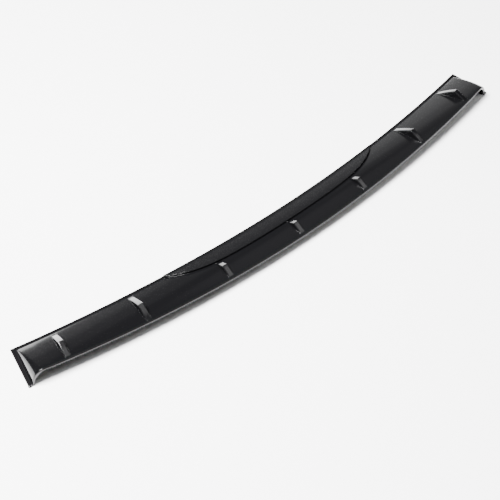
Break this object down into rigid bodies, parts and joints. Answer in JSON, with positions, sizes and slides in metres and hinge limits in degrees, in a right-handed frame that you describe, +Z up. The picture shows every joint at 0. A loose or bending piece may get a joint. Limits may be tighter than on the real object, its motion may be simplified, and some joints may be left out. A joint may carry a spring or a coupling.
{
  "type": "roof spoiler",
  "caption": "Long bowed moulded roof spoiler for a car's rear window, with a raised front crescent, wedge fins and flared end walls.",
  "frame": {"origin": "on the plane that the two end flanges stand on, under the middle of the bounding box", "axes": "+X across the car, to the right seen from behind; +Y forwards to the roof edge; +Z up"},
  "size_m": [1.211, 0.155, 0.045],
  "materials": {
    "shell": "satin black, moulded in colour"
  },
  "bodies": {
    "root": {"spoiler": "shell"}
  },
  "joints": []
}
